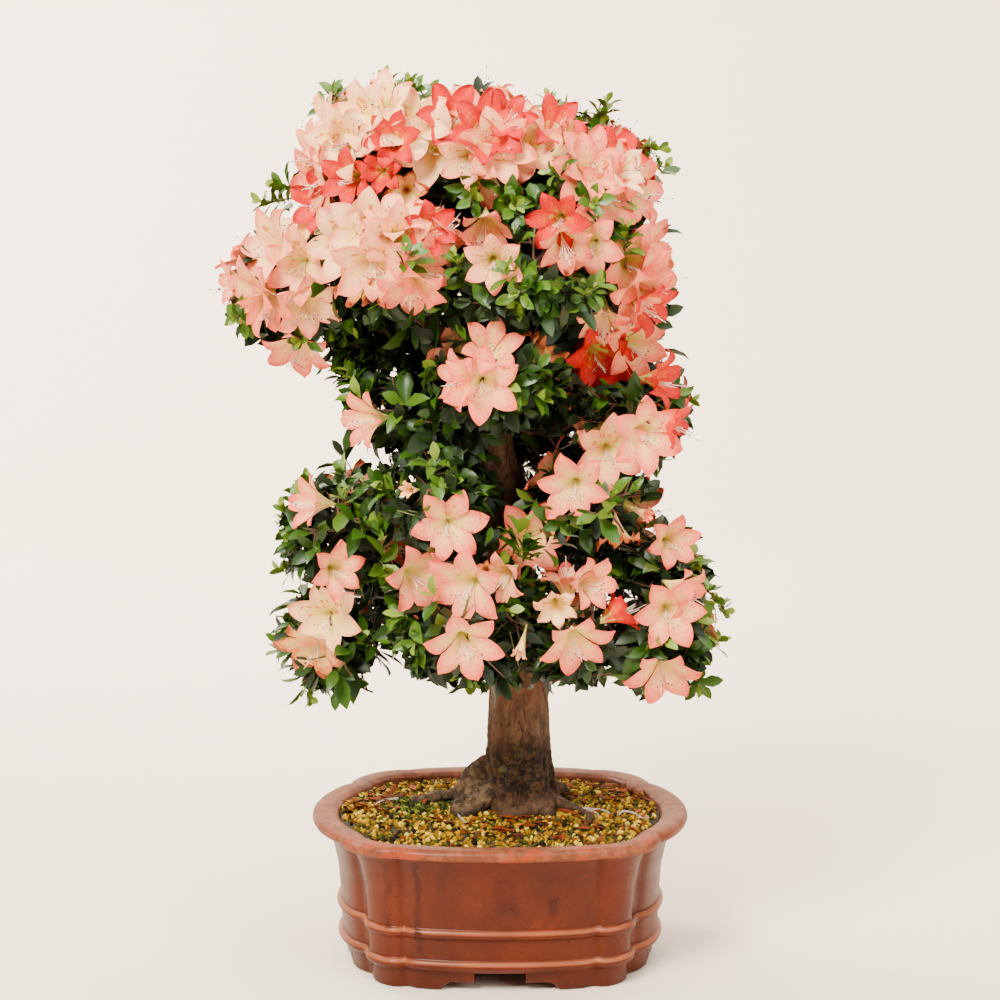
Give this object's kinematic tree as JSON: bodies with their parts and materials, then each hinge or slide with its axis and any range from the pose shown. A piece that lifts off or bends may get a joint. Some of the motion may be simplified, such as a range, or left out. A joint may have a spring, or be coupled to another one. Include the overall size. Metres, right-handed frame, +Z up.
{
  "type": "potted azalea bonsai in flower",
  "caption": "Azalea bonsai in full flower, with an upright tapering trunk, layered clouds of small leaves and salmon-pink blooms, in a wide lobed pot of unglazed clay.",
  "frame": {"origin": "on the standing surface, under the middle of the whole plant's box, crown included", "axes": "+Z up the plant, -Y towards the viewer of the picture, +X to the viewer's right"},
  "size_m": [0.4912, 0.3369, 0.8473],
  "materials": {
    "clay": "satin",
    "soil": "matte",
    "bark": "matte",
    "foliage": "satin"
  },
  "bodies": {
    "root": {"pot": "clay", "soil": "soil", "trunk": "bark", "bough_top_left": "bark", "bough_top": "bark", "bough_top_right": "bark", "bough_right_shoulder": "bark", "bough_left_wing": "bark", "bough_front_left": "bark", "bough_front_right": "bark", "bough_back_left": "bark", "bough_back_right": "bark", "bough_mid_right": "bark", "bough_mid_front": "bark", "bough_mid_left": "bark", "bough_mid_back": "bark", "bough_low_inner_left": "bark", "bough_low_left": "bark", "bough_low_left_hem": "bark", "bough_low_front": "bark", "bough_low_front_right": "bark", "bough_low_mid_right": "bark", "bough_low_right": "bark", "bough_low_back": "bark", "bough_low_back_right": "bark", "mass_top_left": "foliage", "mass_top": "foliage", "mass_top_right": "foliage", "mass_right_shoulder": "foliage", "mass_left_wing": "foliage", "mass_front_left": "foliage", "mass_front_right": "foliage", "mass_back_left": "foliage", "mass_back_right": "foliage", "mass_mid_right": "foliage", "mass_mid_front": "foliage", "mass_mid_left": "foliage", "mass_mid_back": "foliage", "mass_low_inner_left": "foliage", "mass_low_left": "foliage", "mass_low_left_hem": "foliage", "mass_low_front": "foliage", "mass_low_front_right": "foliage", "mass_low_mid_right": "foliage", "mass_low_right": "foliage", "mass_low_back": "foliage", "mass_low_back_right": "foliage"}
  },
  "joints": []
}
